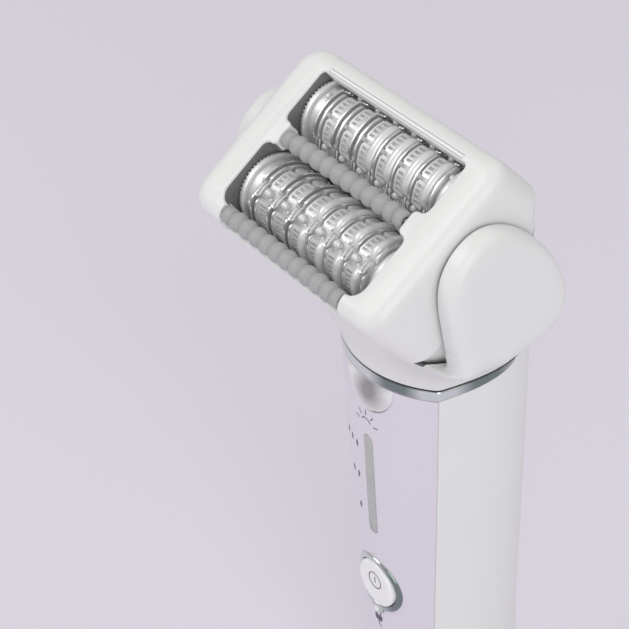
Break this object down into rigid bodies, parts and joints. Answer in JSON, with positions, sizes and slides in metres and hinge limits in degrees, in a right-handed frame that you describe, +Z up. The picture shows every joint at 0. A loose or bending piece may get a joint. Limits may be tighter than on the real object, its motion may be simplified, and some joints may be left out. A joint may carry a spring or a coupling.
{
  "type": "epilator",
  "caption": "Cordless epilator: bowed handle with switch panel, forked yoke and tilting head with geared tweezer cylinders and beaded rollers.",
  "frame": {"origin": "centre of the flat face under the bottom cap, on the handle's middle plane", "axes": "+Z up the handle towards the head, -Y out of the control panel, +X to the right seen from behind the panel towards +Y"},
  "size_m": [0.0696, 0.0551, 0.1747],
  "materials": {
    "lilac_shell": "satin pearl",
    "white_shell": "satin",
    "chrome": "polished",
    "black_rubber": "matte",
    "black_plastic": "matte",
    "contact_metal": "bright",
    "clear_lens": "clear",
    "grey_window": "satin",
    "circuit_board": "solder mask",
    "battery_sleeve": "shrink sleeve",
    "grey_plastic": "moulded",
    "steel": "bright",
    "silver_plastic": "metallic satin",
    "gear_plastic": "moulded",
    "roller_grey": "matte",
    "white_button": "gloss"
  },
  "bodies": {
    "handle": {"front_panel": "lilac_shell", "rear_housing": "white_shell", "trim_ring": "chrome", "neck_gasket": "black_rubber", "bottom_cap": "white_shell", "charge_socket": "black_plastic", "socket_pins": "contact_metal", "light_lens": "clear_lens", "speed_window": "grey_window", "button_bezel": "chrome", "charge_lamp": "clear_lens", "main_circuit_board": "circuit_board", "tact_switch": "black_plastic", "light_board": "circuit_board", "battery_cell": "battery_sleeve", "battery_tabs": "contact_metal", "chassis": "grey_plastic", "base_screws": "steel", "yoke_screws": "steel", "yoke": "white_shell", "ear_cap_left": "white_shell", "ear_cap_right": "white_shell", "pivot_pin_left": "steel", "pivot_pin_right": "steel"},
    "head": {"head_frame": "white_shell", "head_base": "white_shell", "skin_strip": "white_shell", "pivot_hub_left": "grey_plastic", "pivot_hub_right": "grey_plastic", "side_plate_left": "grey_plastic", "side_plate_right": "grey_plastic", "cylinder_bearings": "contact_metal", "motor_can": "steel", "motor_cap": "black_plastic", "idler_pin": "steel", "front_roller_axle": "steel", "middle_roller_axle": "steel"},
    "button": {"power_button": "white_button"},
    "front_cylinder": {"front_shaft": "steel", "front_drum": "silver_plastic", "front_tweezers": "steel", "front_gear": "gear_plastic"},
    "rear_cylinder": {"rear_shaft": "steel", "rear_drum": "silver_plastic", "rear_tweezers": "steel", "rear_gear": "gear_plastic"},
    "idler": {"idler_gear": "gear_plastic"},
    "rotor": {"motor_shaft": "steel", "motor_pinion": "contact_metal"},
    "front_massage_roller": {"front_roller": "roller_grey"},
    "middle_massage_roller": {"middle_roller": "roller_grey"}
  },
  "joints": [
    {"name": "head_tilt", "type": "hinge", "parent": "handle", "child": "head", "pos_m": [0, -0.0098, 0.1506], "axis": [1, 0, 0], "range_deg": [-80, 0]},
    {"name": "power_press", "type": "slide", "parent": "handle", "child": "button", "axis": [0, 1, 0], "range_m": [0, 0.0008], "stiffness_N_per_m": 900},
    {"name": "front_cylinder_spin", "type": "hinge", "parent": "head", "child": "front_cylinder", "pos_m": [0, -0.02325, 0.15168], "axis": [1, 0, 0], "continuous": true},
    {"name": "rear_cylinder_spin", "type": "hinge", "parent": "head", "child": "rear_cylinder", "pos_m": [0, -0.00818, 0.16223], "axis": [1, 0, 0], "continuous": true},
    {"name": "idler_spin", "type": "hinge", "parent": "head", "child": "idler", "pos_m": [0, -0.01108, 0.15033], "axis": [1, 0, 0], "continuous": true},
    {"name": "rotor_spin", "type": "hinge", "parent": "head", "child": "rotor", "pos_m": [0, -0.00563, 0.14255], "axis": [1, 0, 0], "continuous": true},
    {"name": "front_roller_spin", "type": "hinge", "parent": "head", "child": "front_massage_roller", "pos_m": [0, -0.03559, 0.15256], "axis": [1, 0, 0], "continuous": true},
    {"name": "middle_roller_spin", "type": "hinge", "parent": "head", "child": "middle_massage_roller", "pos_m": [0, -0.02086, 0.16361], "axis": [1, 0, 0], "continuous": true}
  ],
  "couplings": [
    {"joint": "rear_cylinder_spin", "follows": "front_cylinder_spin", "ratio": 1},
    {"joint": "idler_spin", "follows": "front_cylinder_spin", "ratio": -1.0417},
    {"joint": "rotor_spin", "follows": "front_cylinder_spin", "ratio": 1.7857}
  ]
}
